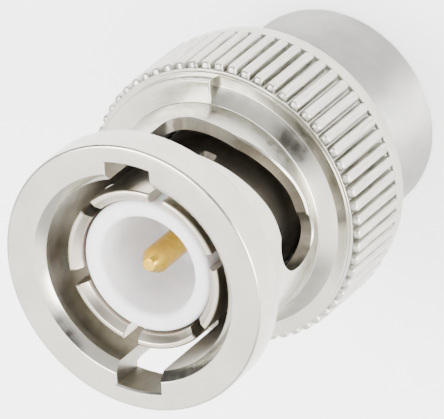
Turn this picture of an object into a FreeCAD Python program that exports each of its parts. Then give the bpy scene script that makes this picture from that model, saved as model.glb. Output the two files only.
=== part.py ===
import FreeCAD, Part
import math
import os
import re

import Sketcher

# A coaxial bayonet plug with a closed rear shell and a terminating resistor inside.
# +Z is the plug's axis and points out of its mating face.
# The origin is the middle of the flat rear end, on which the plug stands.
# The keyways of the coupling nut lie on +X and -X.

doc = FreeCAD.newDocument("bayonet_plug")
sheet = doc.addObject("Spreadsheet::Sheet", "sizes")

# Driving sizes, in millimetres and degrees
SIZES = [
    ("fit_gap", 0.02),
    ("running_gap", 0.15),
    ("stop_gap", 0.05),
    # coupling nut along its axis, from the mating face backwards
    ("flange_thick", 2.05),
    ("slot_web", 0.48),
    ("shoulder_drop", 0.57),
    ("grip_setback", 0.31),
    ("grip_lead", 0.21),
    ("shoulder_wall", 1.28),
    ("groove_wall", 0.4),
    ("rear_rim_length", 0.9),
    # coupling nut across its axis, from the bore outwards
    ("barrel_gap", 0.8),
    ("bore_chamfer", 0.45),
    ("keyway_rise", 1.0),
    ("flange_wall", 0.95),
    ("flange_chamfer", 0.18),
    ("flange_rear_chamfer", 0.25),
    ("neck_bevel", 0.3),
    ("neck_wall", 0.65),
    ("flare_reach", 0.75),
    ("collar_gap", 0.2),
    ("ring_groove_rise", 0.3),
    ("grip_wall", 0.9),
    ("brow_step", 0.4),
    ("land_step", 0.18),
    ("rim_step", 0.2),
    ("rim_round", 0.32),
    ("ridge_count", 62),
    ("ridge_rise", 0.3),
    ("ridge_root", 0.15),
    ("ridge_gap", 0.034),
    ("ridge_draft", 20),
    # keyways, cam slots and detents of the nut
    ("keyway_width", 2.38),
    ("entry_reach", 2.7),
    ("entry_depth", 6.43),
    ("entry_corner", 0.9),
    ("cam_slot_width", 2.6),
    ("cam_overrun", 0.3),
    ("cam_entry_depth", 4.47),
    ("cam_lead", 9.0),
    ("cam_level_angle", 66),
    ("cam_level_blend", 8),
    ("cam_end_angle", 80),
    ("detent_angle", 86),
    ("detent_dia", 3.0),
    # plug body and its collar
    ("body_wall", 0.93),
    ("body_rear_wall", 1.05),
    ("body_chamfer", 0.2),
    ("collar_step", 0.95),
    ("collar_thick", 1.0),
    ("lip_setback", 2.8),
    ("lip_thick", 0.4),
    ("lip_catch", 0.59),
    # outer contact with its spring fingers
    ("contact_recess", 1.0),
    ("contact_wall", 0.55),
    ("contact_lead_in", 0.14),
    ("finger_tip_step", 0.1),
    ("finger_tip_length", 1.2),
    ("finger_tip_wall", 0.46),
    ("finger_bead_length", 1.92),
    ("finger_slope", 0.48),
    ("finger_count", 6),
    ("finger_gap", 0.75),
    ("finger_length", 5.42),
    ("finger_turn", 46.9),
    # insulators
    ("insulator_recess", 1.35),
    ("insulator_dia", 6.78),
    ("insulator_gap", 0.06),
    ("insulator_bore_dia", 5.0),
    ("insulator_bore_depth", 5.45),
    ("insulator_lip_round", 0.3),
    ("rear_insulator_thick", 1.4),
    # centre contact
    ("pin_recess", 1.6),
    ("pin_dia", 1.35),
    ("pin_tip_dia", 0.64),
    ("pin_tip_length", 0.6),
    ("stem_dia", 2.06),
    ("stem_depth", 7.8),
    ("contact_flange_dia", 3.2),
    ("cup_dia", 1.8),
    ("cup_reach", 2.2),
    ("cup_bore_dia", 0.8),
    ("cup_bore_depth", 1.5),
    # gasket, spring, washer and ring
    ("gasket_gap", 0.12),
    ("gasket_thick", 0.8),
    ("gasket_round", 0.18),
    ("spring_height", 1.3),
    ("spring_thick", 0.25),
    ("spring_seat_gap", 0.03),
    ("spring_waves", 3),
    ("washer_thick", 0.6),
    ("ring_thick", 0.6),
    ("ring_gap", 0.3),
    ("ring_opening_width", 2.4),
    # rear shell
    ("shell_gap", 0.1),
    ("shell_length", 6.1),
    ("shell_wall", 0.43),
    ("shell_edge", 0.25),
    ("end_wall", 0.9),
    ("solder_recess_dia", 2.4),
    ("solder_recess_depth", 0.5),
    # resistor, its leads, solder and the earth disc
    ("disc_thick", 0.6),
    ("lead_bare", 0.3),
    ("cup_clearance", 0.2),
    ("rod_dia", 1.3),
    ("cap_wall", 0.13),
    ("cap_length", 0.8),
    ("cap_end", 0.13),
    ("coat_thick", 0.14),
    ("coat_waist", 0.07),
    ("coat_slope", 0.4),
    ("lead_dia", 0.5),
    ("lead_into_cup", 1.3),
    ("lead_out", 0.2),
    ("solder_dia", 1.3),
    ("solder_height", 0.32),
]
for row, (alias, number) in enumerate(SIZES, start=1):
    sheet.set("A%d" % row, alias)
    sheet.set("B%d" % row, str(number))
    sheet.setAlias("B%d" % row, alias)
doc.recompute()
ALIASES = {alias for alias, number in SIZES}


def in_sheet(formula):
    """The formula with each size written as a cell of the sheet."""
    return re.sub(
        r"[a-z_]+",
        lambda word: "sizes." + word.group(0) if word.group(0) in ALIASES else word.group(0),
        formula,
    )


def value(formula):
    """The formula worked out from the sheet, as a plain number."""
    return float(sheet.evalExpression(in_sheet(formula)))


def bind(thing, prop, formula):
    """Tie one property of an object to the sheet."""
    thing.setExpression(prop, in_sheet(formula))


# Radii that several pieces share, each built outwards from the one inside it
CONTACT_BORE = "(insulator_dia / 2 + insulator_gap)"
CONTACT_OUTSIDE = "(%s + contact_wall)" % CONTACT_BORE
FINGER_TIP = "(%s + finger_tip_step)" % CONTACT_OUTSIDE
FINGER_BORE = "(%s - finger_tip_wall)" % FINGER_TIP
NUT_BORE = "(%s + barrel_gap)" % FINGER_TIP
NECK = "(%s + neck_wall)" % NUT_BORE
KEYWAY_FLOOR = "(%s + keyway_rise)" % NUT_BORE
FLANGE = "(%s + flange_wall)" % KEYWAY_FLOOR
BODY_SOCKET = "(%s + fit_gap)" % CONTACT_OUTSIDE
BODY = "(%s + body_wall)" % BODY_SOCKET
BODY_BORE = "(%s - body_rear_wall)" % BODY
COLLAR = "(%s + collar_step)" % BODY
CAVITY = "(%s + collar_gap)" % COLLAR
RING_GROOVE = "(%s + ring_groove_rise)" % CAVITY
GRIP_CORE = "(%s + grip_wall)" % CAVITY
GRIP = "(%s + ridge_rise)" % GRIP_CORE
BROW = "(%s - brow_step)" % GRIP
LAND = "(%s - land_step)" % BROW
FLARE = "(%s + flare_reach)" % NECK
REAR_RIM = "(%s - rim_step)" % GRIP
LIP = "(insulator_dia / 2 - lip_catch)"
SHELL_BORE = "(%s + fit_gap)" % BODY
CAP = "(rod_dia / 2 + cap_wall)"
COAT = "(%s + coat_thick)" % CAP

# Depths behind the mating face, each built backwards from the one in front of it
CAM_END_DEPTH = "(cam_entry_depth + cam_lead * cam_level_angle / 360)"
LAND_DEPTH = "(%s + detent_dia / 2 + slot_web)" % CAM_END_DEPTH
SHOULDER_DEPTH = "(%s + shoulder_drop)" % LAND_DEPTH
GRIP_DEPTH = "(%s + grip_setback)" % SHOULDER_DEPTH
CAVITY_DEPTH = "(%s + shoulder_wall)" % SHOULDER_DEPTH
COLLAR_DEPTH = "(%s + stop_gap)" % CAVITY_DEPTH
LIP_DEPTH = "(%s + lip_setback)" % COLLAR_DEPTH
CUP_DEPTH = "(%s + cup_reach)" % LIP_DEPTH
SPRING_DEPTH = "(%s + collar_thick)" % COLLAR_DEPTH
WASHER_DEPTH = "(%s + spring_height)" % SPRING_DEPTH
RING_DEPTH = "(%s + washer_thick + stop_gap)" % WASHER_DEPTH
GROOVE_END_DEPTH = "(%s + ring_thick + stop_gap)" % RING_DEPTH
NUT_LENGTH = "(%s + groove_wall)" % GROOVE_END_DEPTH
GRIP_END_DEPTH = "(%s - rear_rim_length)" % NUT_LENGTH
OVERALL_LENGTH = "(%s + shell_gap + shell_length)" % NUT_LENGTH
BODY_END_DEPTH = "(%s - end_wall)" % OVERALL_LENGTH

# Heights above the rear end
CUP_HEIGHT = "(%s - %s)" % (OVERALL_LENGTH, CUP_DEPTH)
RESISTOR_REAR = "(end_wall + disc_thick + lead_bare)"
RESISTOR_LENGTH = "(%s - cup_clearance - %s)" % (CUP_HEIGHT, RESISTOR_REAR)


def behind(depth):
    """A depth behind the mating face, as a height that counts up from that face."""
    return "-(%s)" % depth


def origin_plane(body, role):
    """One of the body's own origin planes."""
    return next(item for item in body.Origin.OriginFeatures if item.Role == role)


def flat_sketch(body, name, role):
    """An empty sketch on one of the body's origin planes."""
    sketch = body.newObject("Sketcher::SketchObject", name)
    sketch.AttachmentSupport = [(origin_plane(body, role), "")]
    sketch.MapMode = "FlatFace"
    return sketch


def hold_point(sketch, line, horizontal, vertical):
    """Place the start of a line by two sizes measured from the sketch's origin."""
    for kind, formula, axis in (("DistanceX", horizontal, -2), ("DistanceY", vertical, -1)):
        distance = value(formula)
        if distance == 0:
            sketch.addConstraint(Sketcher.Constraint("PointOnObject", line, 1, axis))
        else:
            index = sketch.addConstraint(Sketcher.Constraint(kind, -1, 1, line, 1, distance))
            sketch.setExpression("Constraints[%d]" % index, in_sheet(formula))


def half_section(body, name, corners):
    """A closed outline in the XZ plane, each corner given as radius and height."""
    sketch = flat_sketch(body, name, "XZ_Plane")
    points = [FreeCAD.Vector(value(radius), value(height), 0) for radius, height in corners]
    count = len(points)
    sketch.addGeometry([Part.LineSegment(points[i], points[(i + 1) % count]) for i in range(count)])
    for i in range(count):
        sketch.addConstraint(Sketcher.Constraint("Coincident", i, 2, (i + 1) % count, 1))
    for i, (radius, height) in enumerate(corners):
        hold_point(sketch, i, radius, height)
    return sketch


def turned(label, corners, seat=OVERALL_LENGTH):
    """A turned piece: its half section revolved about the axis, then set at its seat."""
    body = doc.addObject("PartDesign::Body", label)
    body.Label = label
    section = half_section(body, label + "_section", corners)
    turn = body.newObject("PartDesign::Revolution", label + "_turn")
    turn.Profile = section
    turn.ReferenceAxis = (section, ["V_Axis"])
    turn.Angle = 360
    section.Visibility = False
    bind(body, "Placement.Base.z", seat)
    doc.recompute()
    return body, turn


def ring_edges(shape, rings):
    """Names of the circular edges with the given radius and height."""
    wanted = [(value(radius), value(height)) for radius, height in rings]
    names = []
    for number, edge in enumerate(shape.Edges, start=1):
        if edge.Curve.TypeId != "Part::GeomCircle":
            continue
        for radius, height in wanted:
            same_radius = abs(edge.Curve.Radius - radius) < 1e-4
            same_height = abs(edge.Curve.Center.z - height) < 1e-4
            if same_radius and same_height:
                names.append("Edge%d" % number)
    return names


def rounded(body, base, name, radius, rings):
    """Round the ring edges of a turned piece."""
    fillet = body.newObject("PartDesign::Fillet", name)
    fillet.Base = (base, ring_edges(base.Shape, rings))
    bind(fillet, "Radius", radius)
    doc.recompute()
    return fillet


# Coupling nut: one turning with a front flange, a thin neck, a shoulder and a knurled grip.
# The neck is cut through by two cam slots that start at the keyways.
nut_blank, nut_turn = turned("nut_blank", [
    (NUT_BORE, behind(CAVITY_DEPTH)),
    (NUT_BORE, behind("bore_chamfer")),
    (NUT_BORE + " + bore_chamfer", "0"),
    (FLANGE + " - flange_chamfer", "0"),
    (FLANGE, behind("flange_chamfer")),
    (FLANGE, behind("flange_thick - flange_rear_chamfer")),
    (FLANGE + " - flange_rear_chamfer", behind("flange_thick")),
    (NECK + " + neck_bevel", behind("flange_thick")),
    (NECK, behind("flange_thick + neck_bevel")),
    (NECK, behind(LAND_DEPTH)),
    (FLARE, behind(SHOULDER_DEPTH)),
    (BROW, behind(SHOULDER_DEPTH)),
    (GRIP_CORE, behind(GRIP_DEPTH + " - grip_lead")),
    (GRIP_CORE, behind(GRIP_END_DEPTH)),
    (REAR_RIM, behind(GRIP_END_DEPTH)),
    (REAR_RIM, behind(NUT_LENGTH)),
    (CAVITY, behind(NUT_LENGTH)),
    (CAVITY, behind(GROOVE_END_DEPTH)),
    (RING_GROOVE, behind(GROOVE_END_DEPTH)),
    (RING_GROOVE, behind(RING_DEPTH + " - stop_gap")),
    (CAVITY, behind(RING_DEPTH + " - stop_gap")),
    (CAVITY, behind(CAVITY_DEPTH)),
], "0")
rounded(nut_blank, nut_turn, "rear_rim_rounding", "rim_round", [(REAR_RIM, behind(NUT_LENGTH))])

# The shoulder stands higher over half a turn, on the +Y side of the keyways.
# The section's own third direction is -Y, so a land that reaches out along it is turned over.
land_section = half_section(nut_blank, "land_section", [
    ("(%s + %s) / 2" % (NECK, NUT_BORE), behind(SHOULDER_DEPTH + " + shoulder_drop")),
    (LAND, behind(SHOULDER_DEPTH + " + shoulder_drop")),
    (LAND, behind(LAND_DEPTH)),
    ("(%s + %s) / 2" % (NECK, NUT_BORE), behind(LAND_DEPTH)),
])
land = nut_blank.newObject("PartDesign::Revolution", "raised_land")
land.Profile = land_section
land.ReferenceAxis = (land_section, ["V_Axis"])
land.Angle = 180
land_section.Visibility = False
doc.recompute()
land.Reversed = land.AddSubShape.BoundBox.ZMax > value(NUT_BORE)
doc.recompute()

# One knurl ridge: a bar with rounded ends and drafted flanks, drawn on the YZ plane.
RIDGE_BASE = "(%s - ridge_root)" % GRIP_CORE
RIDGE_WIDTH = "(2 * pi * %s / ridge_count - ridge_gap)" % RIDGE_BASE
ridge_low = behind("%s - %s / 2" % (GRIP_END_DEPTH, RIDGE_WIDTH))
ridge_high = behind("%s + %s / 2" % (GRIP_DEPTH, RIDGE_WIDTH))
ridge_section = flat_sketch(nut_blank, "ridge_section", "YZ_Plane")
half_width = value(RIDGE_WIDTH + " / 2")
low_centre = FreeCAD.Vector(0, value(ridge_low), 0)
high_centre = FreeCAD.Vector(0, value(ridge_high), 0)
sideways = FreeCAD.Vector(half_width, 0, 0)
normal = FreeCAD.Vector(0, 0, 1)
ridge_section.addGeometry([
    Part.LineSegment(low_centre + sideways, high_centre + sideways),
    Part.ArcOfCircle(Part.Circle(high_centre, normal, half_width), 0, math.pi),
    Part.LineSegment(high_centre - sideways, low_centre - sideways),
    Part.ArcOfCircle(Part.Circle(low_centre, normal, half_width), math.pi, 2 * math.pi),
])
for first, first_end, second, second_end in ((0, 2, 1, 1), (1, 2, 2, 1), (2, 2, 3, 1), (3, 2, 0, 1)):
    ridge_section.addConstraint(
        Sketcher.Constraint("Tangent", first, first_end, second, second_end))
ridge_section.addConstraint(Sketcher.Constraint("PointOnObject", 1, 3, -2))
ridge_section.addConstraint(Sketcher.Constraint("PointOnObject", 3, 3, -2))
for kind, geometry, formula in (("radius", 1, RIDGE_WIDTH + " / 2"), ("centre", 1, ridge_high),
                                ("centre", 3, ridge_low)):
    if kind == "radius":
        held = Sketcher.Constraint("Radius", geometry, value(formula))
    else:
        held = Sketcher.Constraint("DistanceY", -1, 1, geometry, 3, value(formula))
    held_index = ridge_section.addConstraint(held)
    ridge_section.setExpression("Constraints[%d]" % held_index, in_sheet(formula))
bind(ridge_section, "AttachmentOffset.Base.z", RIDGE_BASE)
ridge = nut_blank.newObject("PartDesign::Pad", "ridge")
ridge.Profile = ridge_section
bind(ridge, "Length", "ridge_rise + ridge_root")
bind(ridge, "TaperAngle", "-ridge_draft")
ridge_section.Visibility = False
doc.recompute()
knurl = nut_blank.newObject("PartDesign::PolarPattern", "knurl")
knurl.Originals = [ridge]
knurl.Axis = (origin_plane(nut_blank, "Z_Axis"), [""])
knurl.Angle = 360
bind(knurl, "Occurrences", "ridge_count")
nut_blank.Tip = knurl
doc.recompute()


def cam_depth(angle):
    """Depth of the slot's middle behind the mating face, after this much clockwise turn."""
    level = value("cam_level_angle")
    blend = value("cam_level_blend")
    if angle <= level - blend:
        run = angle
    elif angle >= level + blend:
        run = level
    else:
        run = angle - (angle - level + blend) ** 2 / (4 * blend)
    return value("cam_entry_depth") + value("cam_lead") * run / 360


def cam_point(angle, radius, offset=0.0):
    """A point of the cam path: clockwise from the keyway as seen from the front."""
    turn = math.radians(-angle)
    return FreeCAD.Vector(radius * math.cos(turn), radius * math.sin(turn), offset - cam_depth(angle))


def cam_cutter():
    """The cam slot: a radial bar swept along the cam path, kept upright by the axis."""
    inner = value(NUT_BORE + " - cam_overrun")
    outer = value(NECK + " + cam_overrun")
    half = value("cam_slot_width / 2")
    last = value("cam_end_angle")
    stations = 28
    angles = [last * i / (stations - 1) for i in range(stations)]
    path = Part.BSplineCurve()
    path.interpolate([cam_point(angle, outer) for angle in angles])
    corners = [
        cam_point(0, inner, -half),
        cam_point(0, outer, -half),
        cam_point(0, outer, half),
        cam_point(0, inner, half),
    ]
    sweep = Part.BRepOffsetAPI.MakePipeShell(Part.Wire([path.toShape()]))
    sweep.setBiNormalMode(FreeCAD.Vector(0, 0, 1))
    sweep.add(Part.makePolygon(corners + corners[:1]), False, False)
    sweep.build()
    sweep.makeSolid()
    return sweep.shape()


def bayonet_cutter(side):
    """Everything that is cut for one bayonet stud: keyway, its foot, cam slot and detent."""
    tag = "_%d" % side
    key_bar = doc.addObject("Part::Box", "key_bar" + tag)
    bind(key_bar, "Length", KEYWAY_FLOOR)
    bind(key_bar, "Width", "keyway_width")
    bind(key_bar, "Height", "flange_thick + cam_slot_width")
    bind(key_bar, "Placement.Base.x", NUT_BORE + " / 2")
    bind(key_bar, "Placement.Base.y", "-keyway_width / 2")
    bind(key_bar, "Placement.Base.z", behind("flange_thick + cam_slot_width / 2"))
    key_floor = doc.addObject("Part::Cylinder", "key_floor" + tag)
    bind(key_floor, "Radius", KEYWAY_FLOOR)
    bind(key_floor, "Height", NUT_LENGTH + " * 2")
    bind(key_floor, "Placement.Base.z", behind(NUT_LENGTH))
    keyway = doc.addObject("Part::Common", "keyway" + tag)
    keyway.Base = key_bar
    keyway.Tool = key_floor
    foot_bar = doc.addObject("Part::Box", "foot_bar" + tag)
    bind(foot_bar, "Length", NECK)
    bind(foot_bar, "Width", "keyway_width")
    bind(foot_bar, "Height", "entry_depth - flange_thick")
    bind(foot_bar, "Placement.Base.x", NUT_BORE + " / 2")
    bind(foot_bar, "Placement.Base.y", "-keyway_width / 2")
    bind(foot_bar, "Placement.Base.z", behind("entry_depth"))
    doc.recompute()
    foot = doc.addObject("Part::Fillet", "keyway_foot" + tag)
    foot.Base = foot_bar
    far_corner = [
        number for number, edge in enumerate(foot_bar.Shape.Edges, start=1)
        if abs(edge.CenterOfMass.z + value("entry_depth")) < 1e-6
        and edge.CenterOfMass.y > value("keyway_width / 2") - 1e-6
    ]
    corner = value("entry_corner")
    foot.Edges = [(number, corner, corner) for number in far_corner]
    entry = doc.addObject("Part::Box", "entry" + tag)
    bind(entry, "Length", NECK)
    bind(entry, "Width", "entry_reach")
    bind(entry, "Height", "entry_depth - cam_entry_depth")
    bind(entry, "Placement.Base.x", NUT_BORE + " / 2")
    bind(entry, "Placement.Base.y", "-entry_reach")
    bind(entry, "Placement.Base.z", behind("entry_depth"))
    detent = doc.addObject("Part::Cylinder", "detent" + tag)
    bind(detent, "Radius", "detent_dia / 2")
    bind(detent, "Height", NECK)
    turn = FreeCAD.Rotation(FreeCAD.Vector(0, 0, 1), -value("detent_angle"))
    along_x = FreeCAD.Rotation(FreeCAD.Vector(0, 1, 0), 90)
    start = turn.multVec(FreeCAD.Vector(value(NUT_BORE + " / 2"), 0, 0))
    start.z = -cam_depth(value("cam_end_angle"))
    detent.Placement = FreeCAD.Placement(start, turn * along_x)
    slot = doc.addObject("Part::Feature", "cam_slot" + tag)
    slot.Shape = cam_cutter()
    cutter = doc.addObject("Part::MultiFuse", "bayonet_cutter" + tag)
    cutter.Shapes = [keyway, foot, entry, detent, slot]
    cutter.Placement.Rotation = FreeCAD.Rotation(FreeCAD.Vector(0, 0, 1), 180 * side)
    return cutter


bayonet = doc.addObject("Part::MultiFuse", "bayonet_cutters")
bayonet.Shapes = [bayonet_cutter(side) for side in range(2)]
coupling_nut = doc.addObject("Part::Cut", "coupling_nut")
coupling_nut.Label = "coupling_nut"
coupling_nut.Base = nut_blank
coupling_nut.Tool = bayonet
bind(coupling_nut, "Placement.Base.z", OVERALL_LENGTH)
doc.recompute()

# Plug body: a turned tube with the collar that the nut pushes against.
# A lip inside parts the front insulator from the rear one.
plug_body, body_turn = turned("plug_body", [
    (BODY_BORE, behind(BODY_END_DEPTH)),
    (BODY + " - body_chamfer", behind(BODY_END_DEPTH)),
    (BODY, behind(BODY_END_DEPTH + " - body_chamfer")),
    (BODY, behind(SPRING_DEPTH)),
    (COLLAR + " - body_chamfer", behind(SPRING_DEPTH)),
    (COLLAR, behind(SPRING_DEPTH + " - body_chamfer")),
    (COLLAR, behind(COLLAR_DEPTH + " + body_chamfer")),
    (COLLAR + " - body_chamfer", behind(COLLAR_DEPTH)),
    (BODY_SOCKET, behind(COLLAR_DEPTH)),
    (BODY_SOCKET, behind(LIP_DEPTH)),
    (LIP, behind(LIP_DEPTH)),
    (LIP, behind(LIP_DEPTH + " + lip_thick")),
    (BODY_BORE, behind(LIP_DEPTH + " + lip_thick")),
])

# Outer contact: a thin spring-bronze sleeve pressed into the body, slit into fingers.
outer_contact, contact_turn = turned("outer_contact", [
    (CONTACT_BORE, behind(LIP_DEPTH)),
    (CONTACT_OUTSIDE, behind(LIP_DEPTH)),
    (CONTACT_OUTSIDE, behind("contact_recess + finger_tip_length + finger_slope")),
    (FINGER_TIP, behind("contact_recess + finger_tip_length")),
    (FINGER_TIP, behind("contact_recess + contact_lead_in")),
    (FINGER_TIP + " - contact_lead_in", behind("contact_recess")),
    (FINGER_BORE, behind("contact_recess")),
    (FINGER_BORE, behind("contact_recess + finger_bead_length")),
    (CONTACT_BORE, behind("contact_recess + finger_bead_length + finger_slope")),
])
finger_slit = outer_contact.newObject("PartDesign::SubtractiveBox", "finger_slit")
bind(finger_slit, "Length", CONTACT_OUTSIDE)
bind(finger_slit, "Width", "finger_gap")
bind(finger_slit, "Height", "finger_length + contact_lead_in")
bind(finger_slit, "Placement.Base.x", CONTACT_OUTSIDE + " / 2")
bind(finger_slit, "Placement.Base.y", "-finger_gap / 2")
bind(finger_slit, "Placement.Base.z", behind("contact_recess + finger_length"))
doc.recompute()
fingers = outer_contact.newObject("PartDesign::PolarPattern", "fingers")
fingers.Originals = [finger_slit]
fingers.Axis = (origin_plane(outer_contact, "Z_Axis"), [""])
fingers.Angle = 360
bind(fingers, "Occurrences", "finger_count")
outer_contact.Tip = fingers
outer_contact.Placement.Rotation = FreeCAD.Rotation(FreeCAD.Vector(0, 0, 1), value("finger_turn"))
doc.recompute()

# Front insulator: a white sleeve that surrounds the pin and closes behind it.
INSULATOR_FLOOR = "(insulator_recess + insulator_bore_depth)"
front_insulator, front_turn = turned("front_insulator", [
    ("stem_dia / 2 + fit_gap", behind(LIP_DEPTH)),
    ("insulator_dia / 2", behind(LIP_DEPTH)),
    ("insulator_dia / 2", behind("insulator_recess")),
    ("insulator_bore_dia / 2", behind("insulator_recess")),
    ("insulator_bore_dia / 2", behind(INSULATOR_FLOOR)),
    ("stem_dia / 2 + fit_gap", behind(INSULATOR_FLOOR)),
])
rounded(front_insulator, front_turn, "mouth_rounding", "insulator_lip_round",
        [("insulator_bore_dia / 2", behind("insulator_recess"))])

# Rear insulator: a disc that holds the rear of the centre contact.
rear_insulator, rear_turn = turned("rear_insulator", [
    ("cup_dia / 2 + fit_gap", behind(LIP_DEPTH + " + lip_thick + rear_insulator_thick")),
    (BODY_BORE + " - fit_gap", behind(LIP_DEPTH + " + lip_thick + rear_insulator_thick")),
    (BODY_BORE + " - fit_gap", behind(LIP_DEPTH + " + lip_thick")),
    ("cup_dia / 2 + fit_gap", behind(LIP_DEPTH + " + lip_thick")),
])

# Centre contact: pin, stem, a flange trapped at the lip, and a solder cup.
# The stem ends flush with the floor of the front insulator's bore.
centre_contact, centre_turn = turned("centre_contact", [
    ("0", behind(CUP_DEPTH + " - cup_bore_depth")),
    ("cup_bore_dia / 2", behind(CUP_DEPTH + " - cup_bore_depth")),
    ("cup_bore_dia / 2", behind(CUP_DEPTH)),
    ("cup_dia / 2", behind(CUP_DEPTH)),
    ("cup_dia / 2", behind(LIP_DEPTH + " + lip_thick - fit_gap")),
    ("contact_flange_dia / 2", behind(LIP_DEPTH + " + lip_thick - fit_gap")),
    ("contact_flange_dia / 2", behind(LIP_DEPTH + " + fit_gap")),
    ("stem_dia / 2", behind(LIP_DEPTH + " + fit_gap")),
    ("stem_dia / 2", behind(INSULATOR_FLOOR)),
    ("pin_dia / 2", behind(INSULATOR_FLOOR)),
    ("pin_dia / 2", behind("pin_recess + pin_tip_length")),
    ("pin_tip_dia / 2", behind("pin_recess")),
    ("0", behind("pin_recess")),
])

# Interface gasket: a soft ring on the collar, which the mating barrel presses.
interface_gasket, gasket_turn = turned("interface_gasket", [
    (CONTACT_OUTSIDE + " + gasket_gap", behind(COLLAR_DEPTH)),
    (NUT_BORE + " - running_gap", behind(COLLAR_DEPTH)),
    (NUT_BORE + " - running_gap", behind(COLLAR_DEPTH + " - gasket_thick")),
    (CONTACT_OUTSIDE + " + gasket_gap", behind(COLLAR_DEPTH + " - gasket_thick")),
])
rounded(interface_gasket, gasket_turn, "gasket_rounding", "gasket_round", [
    (CONTACT_OUTSIDE + " + gasket_gap", behind(COLLAR_DEPTH + " - gasket_thick")),
    (NUT_BORE + " - running_gap", behind(COLLAR_DEPTH + " - gasket_thick")),
])

# Thrust washer: a flat ring between the spring and the retaining ring.
thrust_washer, washer_turn = turned("thrust_washer", [
    (BODY + " + running_gap", behind(WASHER_DEPTH + " + washer_thick")),
    (CAVITY + " - running_gap", behind(WASHER_DEPTH + " + washer_thick")),
    (CAVITY + " - running_gap", behind(WASHER_DEPTH)),
    (BODY + " + running_gap", behind(WASHER_DEPTH)),
])

# Retaining ring: an open ring sprung into the groove near the nut's rear face.
retaining_ring, ring_turn = turned("retaining_ring", [
    (BODY + " + ring_gap", behind(RING_DEPTH + " + ring_thick")),
    (RING_GROOVE + " - fit_gap", behind(RING_DEPTH + " + ring_thick")),
    (RING_GROOVE + " - fit_gap", behind(RING_DEPTH)),
    (BODY + " + ring_gap", behind(RING_DEPTH)),
])
ring_opening = retaining_ring.newObject("PartDesign::SubtractiveBox", "ring_opening")
bind(ring_opening, "Length", RING_GROOVE)
bind(ring_opening, "Width", "ring_opening_width")
bind(ring_opening, "Height", "ring_thick * 3")
bind(ring_opening, "Placement.Base.x", BODY + " / 2")
bind(ring_opening, "Placement.Base.y", "-ring_opening_width / 2")
bind(ring_opening, "Placement.Base.z", behind(RING_DEPTH + " + ring_thick * 2"))
retaining_ring.Placement.Rotation = FreeCAD.Rotation(FreeCAD.Vector(0, 0, 1), 90)
doc.recompute()


def wave_line(radius, height, swing, waves):
    """A closed line round the axis that rises and falls evenly."""
    stations = 12 * waves
    curve = Part.BSplineCurve()
    points = []
    for i in range(stations):
        turn = 2 * math.pi * i / stations
        level = height + swing * math.cos(waves * turn)
        points.append(FreeCAD.Vector(radius * math.cos(turn), radius * math.sin(turn), level))
    curve.interpolate(Points=points, PeriodicFlag=True)
    return curve.toShape()


def wave_ring():
    """The wave spring: a thin flat ring bent into even waves."""
    inner = value(BODY + " + running_gap")
    outer = value(CAVITY + " - running_gap * 2")
    thick = value("spring_thick")
    free = value("spring_height - spring_seat_gap * 2")
    swing = (free - thick) / 2
    waves = int(value("spring_waves"))
    below = [wave_line(radius, swing, swing, waves) for radius in (inner, outer)]
    above = [wave_line(radius, swing + thick, swing, waves) for radius in (inner, outer)]
    faces = [
        Part.makeRuledSurface(below[0], below[1]),
        Part.makeRuledSurface(above[0], above[1]),
        Part.makeRuledSurface(below[0], above[0]),
        Part.makeRuledSurface(below[1], above[1]),
    ]
    shell = Part.makeShell([face for surface in faces for face in surface.Faces])
    shell.sewShape()
    solid = Part.makeSolid(shell)
    if solid.Volume < 0:
        solid.reverse()
    return solid


# Wave spring: bears on the collar and on the thrust washer, and draws the nut back.
wave_spring = doc.addObject("Part::Feature", "wave_spring")
wave_spring.Label = "wave_spring"
wave_spring.Shape = wave_ring()
wave_spring.Placement.Base.z = value("%s - %s + spring_seat_gap" % (OVERALL_LENGTH, WASHER_DEPTH))

# Terminating resistor: ceramic rod, two pressed caps, two leads and a lacquer coat.
resistor_rod, rod_turn = turned("resistor_rod", [
    ("0", "0"),
    ("rod_dia / 2", "0"),
    ("rod_dia / 2", RESISTOR_LENGTH + " - 2 * cap_end - 2 * fit_gap"),
    ("0", RESISTOR_LENGTH + " - 2 * cap_end - 2 * fit_gap"),
], RESISTOR_REAR + " + cap_end + fit_gap")
CAP_SECTION = [
    ("lead_dia / 2", "0"),
    (CAP, "0"),
    (CAP, "cap_length"),
    ("rod_dia / 2 + fit_gap", "cap_length"),
    ("rod_dia / 2 + fit_gap", "cap_end"),
    ("lead_dia / 2", "cap_end"),
]
resistor_cap_rear, cap_rear_turn = turned("resistor_cap_rear", CAP_SECTION, RESISTOR_REAR)
resistor_cap_front, cap_front_turn = turned(
    "resistor_cap_front", CAP_SECTION, CUP_HEIGHT + " - cup_clearance")
resistor_cap_front.Placement.Rotation = FreeCAD.Rotation(FreeCAD.Vector(1, 0, 0), 180)
resistor_coat, coat_turn = turned("resistor_coat", [
    (CAP + " + fit_gap", "cap_end"),
    (COAT, "cap_end"),
    (COAT, "cap_length"),
    (COAT + " - coat_waist", "cap_length + coat_slope"),
    (COAT + " - coat_waist", RESISTOR_LENGTH + " - cap_length - coat_slope"),
    (COAT, RESISTOR_LENGTH + " - cap_length"),
    (COAT, RESISTOR_LENGTH + " - cap_end"),
    (CAP + " + fit_gap", RESISTOR_LENGTH + " - cap_end"),
], RESISTOR_REAR)


def lead(label, length, seat):
    """A straight resistor lead: a length of tinned wire."""
    wire, wire_turn = turned(label, [
        ("0", "0"),
        ("lead_dia / 2 - fit_gap / 2", "0"),
        ("lead_dia / 2 - fit_gap / 2", length),
        ("0", length),
    ], seat)
    return wire


lead_front = lead("lead_front", "cap_end + cup_clearance + lead_into_cup",
                  CUP_HEIGHT + " - cup_clearance - cap_end")
lead_rear = lead("lead_rear", "lead_out + disc_thick + lead_bare + cap_end", "end_wall - lead_out")

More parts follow.
